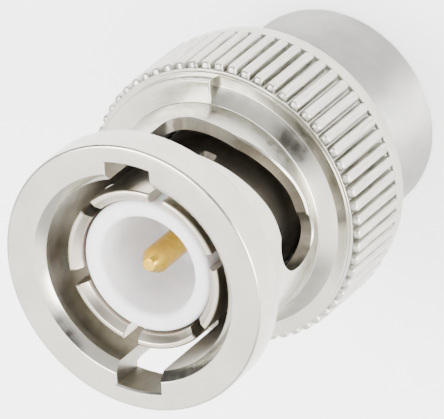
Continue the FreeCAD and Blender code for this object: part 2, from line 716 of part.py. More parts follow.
# Earth disc: closes the body's rear and carries the rear lead.
earth_disc, disc_turn = turned("earth_disc", [
    ("lead_dia / 2", "0"),
    (BODY_BORE + " - fit_gap", "0"),
    (BODY_BORE + " - fit_gap", "disc_thick"),
    ("lead_dia / 2", "disc_thick"),
], "end_wall")

# Solder: a small dome under the earth disc, and a fillet that fills the cup's mouth.
solder_rear, solder_turn = turned("solder_rear", [
    ("lead_dia / 2", "-solder_height"),
    ("solder_dia / 4", "-solder_height"),
    ("solder_dia / 2", "0"),
    ("lead_dia / 2", "0"),
], "end_wall")
solder_front, cup_solder_turn = turned("solder_front", [
    ("lead_dia / 2", "0"),
    ("cup_bore_dia / 2 - fit_gap / 2", "0"),
    ("cup_bore_dia / 2 - fit_gap / 2", "lead_into_cup"),
    ("lead_dia / 2", "lead_into_cup"),
], CUP_HEIGHT)

# Rear shell: a plain closed cup pressed over the body, with a rounded rear edge.
rear_shell, shell_turn = turned("rear_shell", [
    ("0", "0"),
    (SHELL_BORE + " + shell_wall", "0"),
    (SHELL_BORE + " + shell_wall", "shell_length"),
    (SHELL_BORE, "shell_length"),
    (SHELL_BORE, "end_wall"),
    ("solder_recess_dia / 2", "end_wall"),
    ("solder_recess_dia / 2", "end_wall - solder_recess_depth"),
    ("0", "end_wall - solder_recess_depth"),
], "0")
rounded(rear_shell, shell_turn, "rear_edge_rounding", "shell_edge",
        [(SHELL_BORE + " + shell_wall", "0")])

NODES = [
    coupling_nut, retaining_ring, thrust_washer, wave_spring, plug_body, outer_contact,
    interface_gasket, front_insulator, centre_contact, rear_insulator, resistor_rod,
    resistor_cap_front, resistor_cap_rear, resistor_coat, lead_front, lead_rear,
    solder_front, solder_rear, earth_disc, rear_shell,
]

doc.recompute()
for item in doc.Objects:
    if "Invalid" in item.State or "Error" in item.State:
        raise RuntimeError("%s did not build: %s" % (item.Name, item.State))
for node in NODES:
    if node.Shape.isNull() or not node.Shape.isValid():
        raise RuntimeError("%s has no valid shape" % node.Label)
    if len(node.Shape.Solids) != 1:
        raise RuntimeError("%s is %d solids" % (node.Label, len(node.Shape.Solids)))

os.makedirs("parts", exist_ok=True)
for node in NODES:
    node.Shape.exportStep("parts/%s.step" % node.Label)
    print("%-20s %9.3f mm3" % (node.Label, node.Shape.Volume))
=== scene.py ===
import math

import bmesh
import bpy
from mathutils import Matrix, Vector


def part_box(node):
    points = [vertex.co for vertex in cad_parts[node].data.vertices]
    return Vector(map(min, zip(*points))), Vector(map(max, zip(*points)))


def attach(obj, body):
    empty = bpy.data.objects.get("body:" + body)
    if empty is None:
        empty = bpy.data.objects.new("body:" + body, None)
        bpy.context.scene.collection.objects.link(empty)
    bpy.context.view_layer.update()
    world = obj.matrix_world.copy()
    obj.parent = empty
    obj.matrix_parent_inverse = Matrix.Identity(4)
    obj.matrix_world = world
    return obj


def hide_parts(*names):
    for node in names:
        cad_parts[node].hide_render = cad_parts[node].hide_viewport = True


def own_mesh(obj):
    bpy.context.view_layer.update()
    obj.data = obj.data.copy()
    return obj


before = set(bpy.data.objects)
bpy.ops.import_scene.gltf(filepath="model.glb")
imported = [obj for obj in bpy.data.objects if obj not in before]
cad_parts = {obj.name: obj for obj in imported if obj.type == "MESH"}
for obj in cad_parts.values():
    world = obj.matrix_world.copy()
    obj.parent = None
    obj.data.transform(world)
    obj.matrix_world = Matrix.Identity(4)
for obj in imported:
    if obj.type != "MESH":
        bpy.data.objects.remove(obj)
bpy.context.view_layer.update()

# Camera: it looks into the plug's mouth from one side, with the rear shell behind
# to the upper right. It stands far off with a long lens, so the circles of the plug
# stay nearly even ellipses. The picture is 444 by 419.
MM = 0.001
FACE_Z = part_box("coupling_nut")[1].z
CAMERA_TILT = math.radians(39.03)
CAMERA_SIDE = math.radians(-46.3)
CAMERA_DISTANCE = 376.2 * MM
CAMERA_RIGHT = 4.22 * MM
CAMERA_UP = 3.26 * MM
CAMERA_ROLL = (-0.637, -0.770)
CAMERA_LENS = 651

back = Vector((
    math.sin(CAMERA_TILT) * math.cos(CAMERA_SIDE),
    math.sin(CAMERA_TILT) * math.sin(CAMERA_SIDE),
    math.cos(CAMERA_TILT),
))
axis_up = (Vector((0, 0, 1)) - back * back.z).normalized()
axis_right = axis_up.cross(back)
right = (axis_right * CAMERA_ROLL[0] + axis_up * CAMERA_ROLL[1]).normalized()
up = back.cross(right)
camera_data = bpy.data.cameras.new("camera")
camera_data.sensor_width = 36
camera_data.lens = CAMERA_LENS
camera_data.clip_start = 0.01
camera_data.clip_end = 20
camera = bpy.data.objects.new("camera", camera_data)
bpy.context.scene.collection.objects.link(camera)
stand = Matrix((right, up, back)).transposed().to_4x4()
stand.translation = (
    Vector((0, 0, FACE_Z)) + right * CAMERA_RIGHT + up * CAMERA_UP + back * CAMERA_DISTANCE
)
camera.matrix_world = stand
bpy.context.scene.camera = camera


# Plug body: a turned tube of nickel-plated brass that carries everything. Its collar
# takes the push of the spring, and the fingers and the rear shell are pressed onto it.
# It is drawn as half a section in millimetres and turned round the plug's axis.
FACE = 20.2
BODY_BORE = 3.9
BODY_SOCKET = 4.02
BODY_RADIUS = 4.95
COLLAR_RADIUS = 5.9
COLLAR_LOW = 9.2
COLLAR_HIGH = 10.2
BODY_LOW = 0.9
BODY_EDGE = 0.08
COLLAR_EDGE = 0.1
COLLAR_CREASE = 0.06
LIP_RADIUS = 2.8
LIP_LOW = 7.0
LIP_HIGH = 7.4
LIP_EDGE = 0.04
FULL_TURN = math.tau
TOUCH = 1e-4
MERGE = 0.0005


def choose(kind, test):
    """In the mesh that is open, select the vertices, edges or faces whose middle passes."""
    bpy.ops.mesh.select_mode(type=kind)
    bpy.ops.mesh.select_all(action="DESELECT")
    mesh = bpy.context.edit_object.data
    cage = bmesh.from_edit_mesh(mesh)
    if kind == "VERT":
        for corner in cage.verts:
            if test(corner.co):
                corner.select_set(True)
    elif kind == "EDGE":
        for edge in cage.edges:
            if test((edge.verts[0].co + edge.verts[1].co) / 2, edge):
                edge.select_set(True)
    else:
        for face in cage.faces:
            if test(face.calc_center_median(), face.normal):
                face.select_set(True)
    bmesh.update_edit_mesh(mesh)


def drawn(name, corners, ring=True):
    """Draw a section in XZ, corner by corner, and round each corner that has a third number."""
    if bpy.context.mode != "OBJECT":
        bpy.ops.object.mode_set(mode="OBJECT")
    bpy.ops.object.select_all(action="DESELECT")
    bpy.ops.mesh.primitive_plane_add(size=1, location=(0, 0, 0))
    piece = bpy.context.active_object
    piece.name = name
    piece.data.name = name
    bpy.ops.object.mode_set(mode="EDIT")
    bpy.ops.mesh.select_mode(type="VERT")
    bpy.ops.mesh.select_all(action="SELECT")
    bpy.ops.mesh.merge(type="CENTER")
    here = (0, 0)
    for number, corner in enumerate(corners):
        step = (corner[0] - here[0], 0, corner[1] - here[1])
        if number == 0:
            bpy.ops.transform.translate(value=step)
        else:
            bpy.ops.mesh.extrude_region_move(TRANSFORM_OT_translate={"value": step})
        here = corner
    if ring:
        ends = [Vector((corner[0], 0, corner[1])) for corner in (corners[0], corners[-1])]
        choose("VERT", lambda co: min((co - end).length for end in ends) < TOUCH)
        bpy.ops.mesh.edge_face_add()
    for size in sorted({corner[2] for corner in corners if len(corner) > 2}):
        soft = [Vector((c[0], 0, c[1])) for c in corners if len(c) > 2 and c[2] == size]
        choose("VERT", lambda co: min((co - spot).length for spot in soft) < TOUCH)
        steps = max(3, round(size * 10))
        bpy.ops.mesh.bevel(
            offset=size, offset_type="OFFSET", segments=steps, affect="VERTICES")
    return piece


def spun(columns):
    """Turn the section that is open round the plug's axis and close the seam and the poles."""
    bpy.ops.mesh.select_all(action="SELECT")
    bpy.ops.mesh.spin(steps=columns, angle=FULL_TURN, center=(0, 0, 0), axis=(0, 0, 1))
    bpy.ops.mesh.select_all(action="SELECT")
    bpy.ops.mesh.remove_doubles(threshold=MERGE)
    bpy.ops.mesh.normals_make_consistent(inside=False)


def brought_to_size(piece, crease=35):
    """Bring the piece from millimetres to metres and smooth its edges up to this angle."""
    bpy.ops.object.mode_set(mode="OBJECT")
    bpy.ops.object.select_all(action="DESELECT")
    piece.select_set(True)
    bpy.context.view_layer.objects.active = piece
    piece.scale = (MM, MM, MM)
    bpy.ops.object.transform_apply(location=False, rotation=False, scale=True)
    bpy.ops.object.shade_smooth_by_angle(angle=math.radians(crease))


def finish(name, colour, roughness, **more):
    """A new material: one shader, with everything that is even over the surface set on it."""
    made = bpy.data.materials.new(name)
    made.use_nodes = True
    shader = made.node_tree.nodes["Principled BSDF"]
    shader.inputs["Base Color"].default_value = (*colour, 1)
    shader.inputs["Roughness"].default_value = roughness
    for socket, level in more.items():
        shader.inputs[socket.replace("_", " ")].default_value = level
    return made


def added(material, kind, feeds, **settings):
    """Add one node to a material, with its settings and with what feeds each socket."""
    node = material.node_tree.nodes.new("ShaderNode" + kind)
    for key, level in settings.items():
        setattr(node, key, level)
    for socket, feed in feeds.items():
        if isinstance(feed, bpy.types.NodeSocket):
            material.node_tree.links.new(feed, node.inputs[socket])
        else:
            node.inputs[socket].default_value = feed
    return node


def object_place(material):
    """Where a point lies on the piece, in metres."""
    return added(material, "TexCoord", {}).outputs["Object"]


def lathe_marks(material, pitch, sway=1.5):
    """Marks that run round the plug's axis, as a turning tool or a brush leaves them. A
    large sway breaks them up into streaks along the axis."""
    place = object_place(material)
    flat = added(
        material, "VectorMath", {0: place, 1: (1, 1, 0)}, operation="MULTIPLY").outputs[0]
    radius = added(material, "VectorMath", {0: flat}, operation="LENGTH").outputs["Value"]
    ray = added(material, "VectorMath", {0: flat}, operation="NORMALIZE").outputs[0]
    round_about = added(
        material, "VectorMath", {0: ray, 1: (sway, sway, 0)}, operation="MULTIPLY").outputs[0]
    line = added(
        material, "VectorMath", {0: place, 1: (0, 0, 1 / pitch), 2: round_about},
        operation="MULTIPLY_ADD").outputs[0]
    ring = added(material, "Math", {0: radius, 1: 1 / pitch}, operation="MULTIPLY").outputs[0]
    return added(
        material, "TexNoise", {"Vector": line, "W": ring, "Scale": 1.0, "Detail": 3.0},
        noise_dimensions="4D").outputs[0]


def mottle(material, grain, detail=2.0):
    """Soft uneven patches of about this size."""
    return added(
        material, "TexNoise",
        {"Vector": object_place(material), "Scale": 1 / grain, "Detail": detail}).outputs[0]


def spread(material, source, low, high):
    """Stretch the middle of a noise over a range of values."""
    return added(
        material, "MapRange",
        {"Value": source, "From Min": 0.2, "From Max": 0.8, "To Min": low, "To Max": high},
        interpolation_type="SMOOTHSTEP").outputs[0]


def tinted(material, source, dark, light):
    """Let the base colour wander between two near colours."""
    blend = added(
        material, "Mix",
        {"Factor": source, "A": (*dark, 1), "B": (*light, 1)}, data_type="RGBA")
    shader = material.node_tree.nodes["Principled BSDF"]
    material.node_tree.links.new(blend.outputs[2], shader.inputs["Base Color"])


def dulled(material, source):
    """Feed the shader's roughness."""
    shader = material.node_tree.nodes["Principled BSDF"]
    material.node_tree.links.new(source, shader.inputs["Roughness"])


def raised(material, *layers):
    """Relief finer than the mesh: each layer is a pattern and its height in metres."""
    shader = material.node_tree.nodes["Principled BSDF"]
    normal = None
    for pattern, height in layers:
        feeds = {"Height": pattern, "Distance": height, "Strength": 1.0}
        if normal:
            feeds["Normal"] = normal
        normal = added(material, "Bump", feeds).outputs[0]
    material.node_tree.links.new(normal, shader.inputs["Normal"])


SATIN_DARK = (0.39, 0.385, 0.365)
SATIN_LIGHT = (0.48, 0.475, 0.455)
SATIN_PITCH = 0.055 * MM
SATIN_CLOUD = 1.6 * MM
satin_nickel = finish(
    "satin_nickel", SATIN_LIGHT, 0.58,
    Metallic=1.0, Anisotropic=0.95, Anisotropic_Rotation=0.25)
brushing = lathe_marks(satin_nickel, SATIN_PITCH)
clouding = mottle(satin_nickel, SATIN_CLOUD)
tinted(satin_nickel, spread(satin_nickel, clouding, 0.0, 1.0), SATIN_DARK, SATIN_LIGHT)
dulled(satin_nickel, spread(satin_nickel, brushing, 0.54, 0.62))
round_axis = added(satin_nickel, "Tangent", {}, direction_type="RADIAL", axis="Z").outputs[0]
satin_shader = satin_nickel.node_tree.nodes["Principled BSDF"]
satin_nickel.node_tree.links.new(round_axis, satin_shader.inputs["Tangent"])
raised(satin_nickel, (brushing, 0.004 * MM), (clouding, 0.006 * MM))

body = drawn("turned_body", [
    (BODY_BORE, BODY_LOW),
    (BODY_RADIUS, BODY_LOW, BODY_EDGE),
    (BODY_RADIUS, COLLAR_LOW, COLLAR_CREASE),
    (COLLAR_RADIUS, COLLAR_LOW, COLLAR_EDGE),
    (COLLAR_RADIUS, COLLAR_HIGH, COLLAR_EDGE),
    (BODY_SOCKET, COLLAR_HIGH),
    (BODY_SOCKET, LIP_HIGH),
    (LIP_RADIUS, LIP_HIGH, LIP_EDGE),
    (LIP_RADIUS, LIP_LOW, LIP_EDGE),
    (BODY_BORE, LIP_LOW),
])
spun(128)
brought_to_size(body)
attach(body, "plug")
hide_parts("plug_body")
body.data.materials.append(satin_nickel)


# Outer contact: a sleeve of nickel-plated spring bronze, pressed into the plug body.
# Six slits make it into spring fingers, and each finger swells at its tip, inside and out.
CONTACT_BORE = 3.45
CONTACT_RADIUS = 4.0
CONTACT_HIGH = 19.2
TIP_RADIUS = 4.1
TIP_BORE = 3.47
TIP_LENGTH = 1.2
TIP_SLOPE = 0.48
TIP_DEEP = 1.92
TIP_CREST = 3.82
TIP_CHAMFER = 0.32
TIP_ROUND = 0.2
TIP_RIM = 0.13
SLIT_COUNT = 6
SLIT_WIDTH = 0.75
SLIT_DEPTH = 5.42
SLIT_FIRST = math.radians(46.9)
SLIT_ROOT_ROUND = 0.12
SLIT_FLARE = 0.26
SLIT_EDGE = 0.06
SLIT_INSIDE = 3.0
SLIT_BORE = 3.42
SLIT_WIDEN = 1.6
OVERSHOOT = 0.2

contact = drawn("spring_fingers", [
    (CONTACT_BORE, LIP_HIGH),
    (CONTACT_RADIUS, LIP_HIGH),
    (CONTACT_RADIUS, CONTACT_HIGH - TIP_LENGTH - TIP_SLOPE, TIP_ROUND),
    (TIP_RADIUS, CONTACT_HIGH - TIP_LENGTH, TIP_ROUND),
    (TIP_RADIUS, CONTACT_HIGH, TIP_RIM),
    (TIP_CREST, CONTACT_HIGH, 0.04),
    (TIP_BORE, CONTACT_HIGH - TIP_CHAMFER, 0.06),
    (TIP_BORE, CONTACT_HIGH - TIP_DEEP),
    (CONTACT_BORE, CONTACT_HIGH - TIP_DEEP - TIP_SLOPE),
])
spun(180)


def faced_out(reach):
    """Fill the open section, turn it to face along X and move it this far out."""
    bpy.ops.mesh.select_all(action="SELECT")
    bpy.ops.mesh.edge_face_add()
    bpy.ops.transform.rotate(value=math.pi / 2, orient_axis="Z", center_override=(0, 0, 0))
    bpy.ops.transform.translate(value=(reach, 0, 0))


def grown(steps, about):
    """Draw the selected face out along X, station by station, each wider or narrower."""
    across, high = 1.0, 1.0
    last = steps[0][0]
    for reach, wide, tall in steps[1:]:
        bpy.ops.mesh.extrude_region_move(TRANSFORM_OT_translate={"value": (reach - last, 0, 0)})
        bpy.ops.transform.resize(value=(1, wide / across, tall / high), center_override=about)
        across, high, last = wide, tall, reach


def repeated(count):
    """Copy the open mesh round the plug's axis, so that it stands there this many times."""
    bpy.ops.mesh.select_all(action="SELECT")
    bpy.ops.mesh.spin(
        steps=count - 1, dupli=True, angle=FULL_TURN * (count - 1) / count,
        center=(0, 0, 0), axis=(0, 0, 1),
    )
    bpy.ops.mesh.select_all(action="SELECT")
    bpy.ops.mesh.normals_make_consistent(inside=False)


def turned_to(angle):
    """Turn the open mesh round the plug's axis, anticlockwise as seen from the mating face."""
    bpy.ops.mesh.select_all(action="SELECT")
    bpy.ops.transform.rotate(value=-angle, orient_axis="Z", center_override=(0, 0, 0))


def combined(piece, tool, operation):
    """Cut the tool out of the piece, or join it to the piece, and throw the tool away."""
    if bpy.context.mode != "OBJECT":
        bpy.ops.object.mode_set(mode="OBJECT")
    bpy.ops.object.select_all(action="DESELECT")
    piece.select_set(True)
    bpy.context.view_layer.objects.active = piece
    change = piece.modifiers.new("change", "BOOLEAN")
    change.operation = operation
    change.solver = "EXACT"
    change.object = tool
    bpy.ops.object.modifier_apply(modifier=change.name)
    bpy.data.objects.remove(tool)


SLIT_ROOT = CONTACT_HIGH - SLIT_DEPTH
half = SLIT_WIDTH / 2
slits = drawn("slits", [
    (-half, SLIT_ROOT, SLIT_ROOT_ROUND),
    (half, SLIT_ROOT, SLIT_ROOT_ROUND),
    (half, CONTACT_HIGH - SLIT_EDGE),
    (half + SLIT_FLARE, CONTACT_HIGH + OVERSHOOT),
    (-half - SLIT_FLARE, CONTACT_HIGH + OVERSHOOT),
    (-half, CONTACT_HIGH - SLIT_EDGE),
])
faced_out(SLIT_INSIDE)
grown([
    (SLIT_INSIDE, 1, 1),
    (SLIT_BORE, 1, 1),
    (TIP_RADIUS - 0.04, 1, 1),
    (TIP_RADIUS + OVERSHOOT, SLIT_WIDEN, 1),
], (0, 0, SLIT_ROOT))
turned_to(SLIT_FIRST)
repeated(SLIT_COUNT)
combined(contact, slits, "DIFFERENCE")
bpy.ops.object.mode_set(mode="EDIT")
bpy.ops.mesh.select_all(action="SELECT")
bpy.ops.mesh.dissolve_degenerate(threshold=MERGE)
brought_to_size(contact)
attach(contact, "plug")
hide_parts("outer_contact")

BRONZE_DARK = (0.43, 0.385, 0.31)
BRONZE_LIGHT = (0.51, 0.475, 0.41)
spring_bronze = finish("spring_bronze", (0.47, 0.43, 0.36), 0.28, Metallic=1.0)
turning = lathe_marks(spring_bronze, 0.05 * MM)
patches = mottle(spring_bronze, 0.7 * MM)
tinted(spring_bronze, spread(spring_bronze, patches, 0, 1), BRONZE_DARK, BRONZE_LIGHT)
dulled(spring_bronze, spread(spring_bronze, turning, 0.27, 0.33))
raised(spring_bronze, (turning, 0.0006 * MM), (patches, 0.001 * MM))
contact.data.materials.append(spring_bronze)


# Interface gasket: a soft silicone ring that lies on the body's collar inside the nut.
# It is moulded, with rounded edges, and the mating barrel presses it.
GASKET_INNER = 4.12
GASKET_OUTER = 4.75
GASKET_HIGH = 11.0
GASKET_FOOT_EDGE = 0.06
GASKET_TOP_EDGE = 0.2

gasket = drawn("moulded_gasket", [
    (GASKET_INNER, COLLAR_HIGH, GASKET_FOOT_EDGE),
    (GASKET_OUTER, COLLAR_HIGH, GASKET_FOOT_EDGE),
    (GASKET_OUTER, GASKET_HIGH, GASKET_TOP_EDGE),
    (GASKET_INNER, GASKET_HIGH, GASKET_TOP_EDGE),
])
spun(128)
brought_to_size(gasket, 60)
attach(gasket, "plug")
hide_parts("interface_gasket")

SILICONE_DARK = (0.12, 0.11, 0.105)
SILICONE_LIGHT = (0.18, 0.17, 0.16)
silicone = finish("silicone", (0.15, 0.14, 0.13), 0.55)
bloom = mottle(silicone, 0.4 * MM, 4.0)
tinted(silicone, spread(silicone, bloom, 0, 1), SILICONE_DARK, SILICONE_LIGHT)
dulled(silicone, spread(silicone, bloom, 0.48, 0.66))
raised(silicone, (mottle(silicone, 0.06 * MM, 3.0), 0.006 * MM))
gasket.data.materials.append(silicone)


# Front insulator: a white PTFE sleeve, turned, with a softly rounded mouth. It is pushed
# into the finger ring down to the body's lip and guards the pin.
INSULATOR_RADIUS = 3.39
INSULATOR_HIGH = 18.85
INSULATOR_BORE = 2.5
INSULATOR_FLOOR = 13.4
STEM_RADIUS = 1.03
STEM_GAP = 0.02
MOUTH_OUTER_ROUND = 0.3
MOUTH_INNER_ROUND = 0.35
WELL_ROUND = 0.2

sleeve = drawn("white_sleeve", [
    (STEM_RADIUS + STEM_GAP, LIP_HIGH),
    (INSULATOR_RADIUS, LIP_HIGH, 0.1),
    (INSULATOR_RADIUS, INSULATOR_HIGH, MOUTH_OUTER_ROUND),
    (INSULATOR_BORE, INSULATOR_HIGH, MOUTH_INNER_ROUND),
    (INSULATOR_BORE, INSULATOR_FLOOR, WELL_ROUND),
    (STEM_RADIUS + STEM_GAP, INSULATOR_FLOOR),
])
spun(128)
brought_to_size(sleeve, 60)
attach(sleeve, "plug")
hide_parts("front_insulator")

PTFE_DARK = (0.75, 0.75, 0.78)
PTFE_LIGHT = (0.83, 0.83, 0.85)
ptfe = finish(
    "ptfe", (0.79, 0.79, 0.82), 0.36,
    IOR=1.35, Subsurface_Weight=0.4, Subsurface_Scale=0.5 * MM)
faint_rings = lathe_marks(ptfe, 0.07 * MM)
waxy = mottle(ptfe, 0.9 * MM)
tinted(ptfe, spread(ptfe, waxy, 0, 1), PTFE_DARK, PTFE_LIGHT)
dulled(ptfe, spread(ptfe, faint_rings, 0.30, 0.42))
raised(ptfe, (faint_rings, 0.004 * MM), (waxy, 0.01 * MM))
sleeve.data.materials.append(ptfe)


# Centre contact: a gold-plated brass pin, turned in one piece with its stem, the flange
# that the two insulators trap, and the solder cup at the back.
PIN_RADIUS = 0.675
PIN_HIGH = 18.6
PIN_TIP_RADIUS = 0.32
PIN_TIP_LENGTH = 0.6
PIN_FLANGE = 1.6
CUP_RADIUS = 0.9
CUP_BORE = 0.4
CUP_LOW = 5.2
CUP_FLOOR = 6.7
TRAP_GAP = 0.02
PIN_EDGE = 0.05

pin = drawn("gold_pin", [
    (0, PIN_HIGH),
    (PIN_TIP_RADIUS, PIN_HIGH, 0.03),
    (PIN_RADIUS, PIN_HIGH - PIN_TIP_LENGTH, 0.04),
    (PIN_RADIUS, INSULATOR_FLOOR),
    (STEM_RADIUS, INSULATOR_FLOOR, 0.03),
    (STEM_RADIUS, LIP_HIGH - TRAP_GAP),
    (PIN_FLANGE, LIP_HIGH - TRAP_GAP, PIN_EDGE),
    (PIN_FLANGE, LIP_LOW + TRAP_GAP, PIN_EDGE),
    (CUP_RADIUS, LIP_LOW + TRAP_GAP),
    (CUP_RADIUS, CUP_LOW, PIN_EDGE),
    (CUP_BORE, CUP_LOW, PIN_EDGE),
    (CUP_BORE, CUP_FLOOR),
    (0, CUP_FLOOR),
], ring=False)
spun(64)
brought_to_size(pin)
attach(pin, "plug")
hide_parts("centre_contact")

GOLD_DARK = (0.50, 0.31, 0.035)
GOLD_LIGHT = (0.61, 0.39, 0.06)
gold = finish("gold", (0.56, 0.35, 0.05), 0.22, Metallic=1.0)
pin_turning = lathe_marks(gold, 0.04 * MM)
rubbed = mottle(gold, 0.35 * MM)
tinted(gold, spread(gold, rubbed, 0, 1), GOLD_DARK, GOLD_LIGHT)
dulled(gold, spread(gold, pin_turning, 0.17, 0.28))
raised(gold, (pin_turning, 0.003 * MM), (rubbed, 0.001 * MM))
pin.data.materials.append(gold)


def refinished(material, *names):
    """Give the CAD nodes that stay as they are their material."""
    for name in names:
        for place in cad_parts[name].material_slots:
            place.material = material


# Rear insulator: a plain disc of the same white PTFE, turned, which holds the rear of the
# centre contact in the body.
refinished(ptfe, "rear_insulator")


# Terminating resistor: an unglazed ceramic rod with two pressed caps of tinned steel, a
# tinned wire welded to each, and a coat of blue lacquer over the rod and the caps.
CERAMIC_DARK = (0.74, 0.70, 0.62)
CERAMIC_LIGHT = (0.84, 0.81, 0.75)
ceramic = finish("ceramic", (0.80, 0.77, 0.70), 0.8)
chalk = mottle(ceramic, 0.12 * MM, 5.0)
tinted(ceramic, spread(ceramic, chalk, 0, 1), CERAMIC_DARK, CERAMIC_LIGHT)
dulled(ceramic, spread(ceramic, chalk, 0.7, 0.9))
raised(ceramic, (chalk, 0.008 * MM))
refinished(ceramic, "resistor_rod")

TIN_DARK = (0.58, 0.58, 0.60)
TIN_LIGHT = (0.72, 0.72, 0.73)
tinned = finish("tinned", (0.66, 0.66, 0.67), 0.3, Metallic=1.0)
drawing = mottle(tinned, 0.15 * MM, 3.0)
tinted(tinned, spread(tinned, drawing, 0, 1), TIN_DARK, TIN_LIGHT)
dulled(tinned, spread(tinned, drawing, 0.22, 0.42))
raised(tinned, (lathe_marks(tinned, 0.05 * MM), 0.003 * MM), (drawing, 0.006 * MM))
refinished(tinned, "resistor_cap_front", "resistor_cap_rear", "lead_front", "lead_rear")

LACQUER_DARK = (0.028, 0.09, 0.20)
LACQUER_LIGHT = (0.045, 0.13, 0.27)
lacquer = finish("lacquer", (0.035, 0.11, 0.23), 0.2, Coat_Weight=0.4, Coat_Roughness=0.15)
runs = mottle(lacquer, 0.5 * MM)
tinted(lacquer, spread(lacquer, runs, 0, 1), LACQUER_DARK, LACQUER_LIGHT)
dulled(lacquer, spread(lacquer, runs, 0.16, 0.3))
raised(lacquer, (runs, 0.03 * MM))
refinished(lacquer, "resistor_coat")


# Solder: it fills the pin's cup round the front lead and stands as a small dome under the
# earth disc, set bright with a slightly frosted skin.
SOLDER_DARK = (0.50, 0.50, 0.52)
SOLDER_LIGHT = (0.66, 0.66, 0.67)
solder = finish("solder", (0.58, 0.58, 0.60), 0.34, Metallic=1.0)
frost = mottle(solder, 0.1 * MM, 4.0)
tinted(solder, spread(solder, frost, 0, 1), SOLDER_DARK, SOLDER_LIGHT)
dulled(solder, spread(solder, frost, 0.24, 0.5))
raised(solder, (frost, 0.006 * MM), (mottle(solder, 0.4 * MM), 0.03 * MM))
refinished(solder, "solder_front", "solder_rear")


# Earth disc: a turned brass disc with satin nickel plate, pressed into the body's rear. It
# carries the resistor's rear lead.
refinished(satin_nickel, "earth_disc")


# Rear shell: a plain closed cup of satin nickel-plated brass, pressed over the back of
# the plug body. Its rear edge is rounded, and the plug stands on its flat end.
SHELL_RADIUS = 5.4
SHELL_BORE = 4.97
SHELL_HIGH = 6.1
END_WALL = 0.9
RECESS_RADIUS = 1.2
RECESS_FLOOR = 0.4
SHELL_FOOT_ROUND = 0.25
SHELL_OUTER_EDGE = 0.08
SHELL_INNER_EDGE = 0.05

shell = drawn("rear_cup", [
    (0, 0),
    (SHELL_RADIUS, 0, SHELL_FOOT_ROUND),
    (SHELL_RADIUS, SHELL_HIGH, SHELL_OUTER_EDGE),
    (SHELL_BORE, SHELL_HIGH, SHELL_INNER_EDGE),
    (SHELL_BORE, END_WALL),
    (RECESS_RADIUS, END_WALL),
    (RECESS_RADIUS, RECESS_FLOOR),
    (0, RECESS_FLOOR),
], ring=False)
spun(256)
brought_to_size(shell)
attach(shell, "plug")
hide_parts("rear_shell")
shell.data.materials.append(satin_nickel)


# Wave spring: a thin flat ring of spring steel bent into three waves. It pushes the nut
# back from the collar, and flattens when the nut is drawn forward.
SPRING_INNER = 5.1
SPRING_OUTER = 5.8
SPRING_LOW = 7.93
SPRING_HIGH = 9.17
SPRING_THICK = 0.25
SPRING_EDGE = 0.05
SPRING_WAVES = 3

spring = drawn("wave_ring", [
    (SPRING_INNER, SPRING_LOW, SPRING_EDGE),
    (SPRING_OUTER, SPRING_LOW, SPRING_EDGE),
    (SPRING_OUTER, SPRING_LOW + SPRING_THICK, SPRING_EDGE),
    (SPRING_INNER, SPRING_LOW + SPRING_THICK, SPRING_EDGE),
])
spun(144)
swing = (SPRING_HIGH - SPRING_LOW - SPRING_THICK) / 2
cage = bmesh.from_edit_mesh(spring.data)
for corner in cage.verts:
    turn = math.atan2(corner.co.y, corner.co.x)
    corner.co.z += swing * (1 + math.cos(SPRING_WAVES * turn))
bmesh.update_edit_mesh(spring.data)
brought_to_size(spring)
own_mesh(spring)
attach(spring, "plug")
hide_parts("wave_spring")

STEEL_DARK = (0.36, 0.355, 0.35)
STEEL_LIGHT = (0.48, 0.48, 0.49)
spring_steel = finish("spring_steel", (0.42, 0.42, 0.43), 0.3, Metallic=1.0)
rolling = lathe_marks(spring_steel, 0.04 * MM)
temper = mottle(spring_steel, 0.8 * MM)
tinted(spring_steel, spread(spring_steel, temper, 0, 1), STEEL_DARK, STEEL_LIGHT)
dulled(spring_steel, spread(spring_steel, rolling, 0.24, 0.4))
raised(spring_steel, (rolling, 0.004 * MM), (temper, 0.01 * MM))
spring.data.materials.append(spring_steel)


# Thrust washer: a flat nickel-plated ring between the spring and the retaining ring, turned
# with broken edges. It rides forward with the nut and presses the spring.
WASHER_INNER = 5.1
WASHER_OUTER = 5.95
WASHER_LOW = 7.3
WASHER_HIGH = 7.9
WASHER_EDGE = 0.08

washer = drawn("flat_washer", [
    (WASHER_INNER, WASHER_LOW, WASHER_EDGE),
    (WASHER_OUTER, WASHER_LOW, WASHER_EDGE),
    (WASHER_OUTER, WASHER_HIGH, WASHER_EDGE),
    (WASHER_INNER, WASHER_HIGH, WASHER_EDGE),
])
spun(128)
brought_to_size(washer)
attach(washer, "washer")
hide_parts("thrust_washer")
washer.data.materials.append(satin_nickel)


# Retaining ring: an open ring of spring steel, sprung into the groove near the nut's
# rear face. It carries the washer, and its opening lies on the +Y side.
RING_INNER = 5.25
RING_OUTER = 6.38
RING_LOW = 6.65
RING_HIGH = 7.25
RING_EDGE = 0.06
RING_OPENING = 2.4
NOTCH_SIZE = 3.0

ring = drawn("open_ring", [
    (RING_INNER, RING_LOW, RING_EDGE),
    (RING_OUTER, RING_LOW, RING_EDGE),
    (RING_OUTER, RING_HIGH, RING_EDGE),
    (RING_INNER, RING_HIGH, RING_EDGE),
])
spun(144)
bpy.ops.object.mode_set(mode="OBJECT")
bpy.ops.object.select_all(action="DESELECT")
bpy.ops.mesh.primitive_cube_add(size=1, location=(0, (RING_INNER + RING_OUTER) / 2, RING_LOW))
notch = bpy.context.active_object
notch.scale = (RING_OPENING, NOTCH_SIZE, NOTCH_SIZE)
combined(ring, notch, "DIFFERENCE")
brought_to_size(ring)
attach(ring, "nut")
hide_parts("retaining_ring")
ring.data.materials.append(spring_steel)


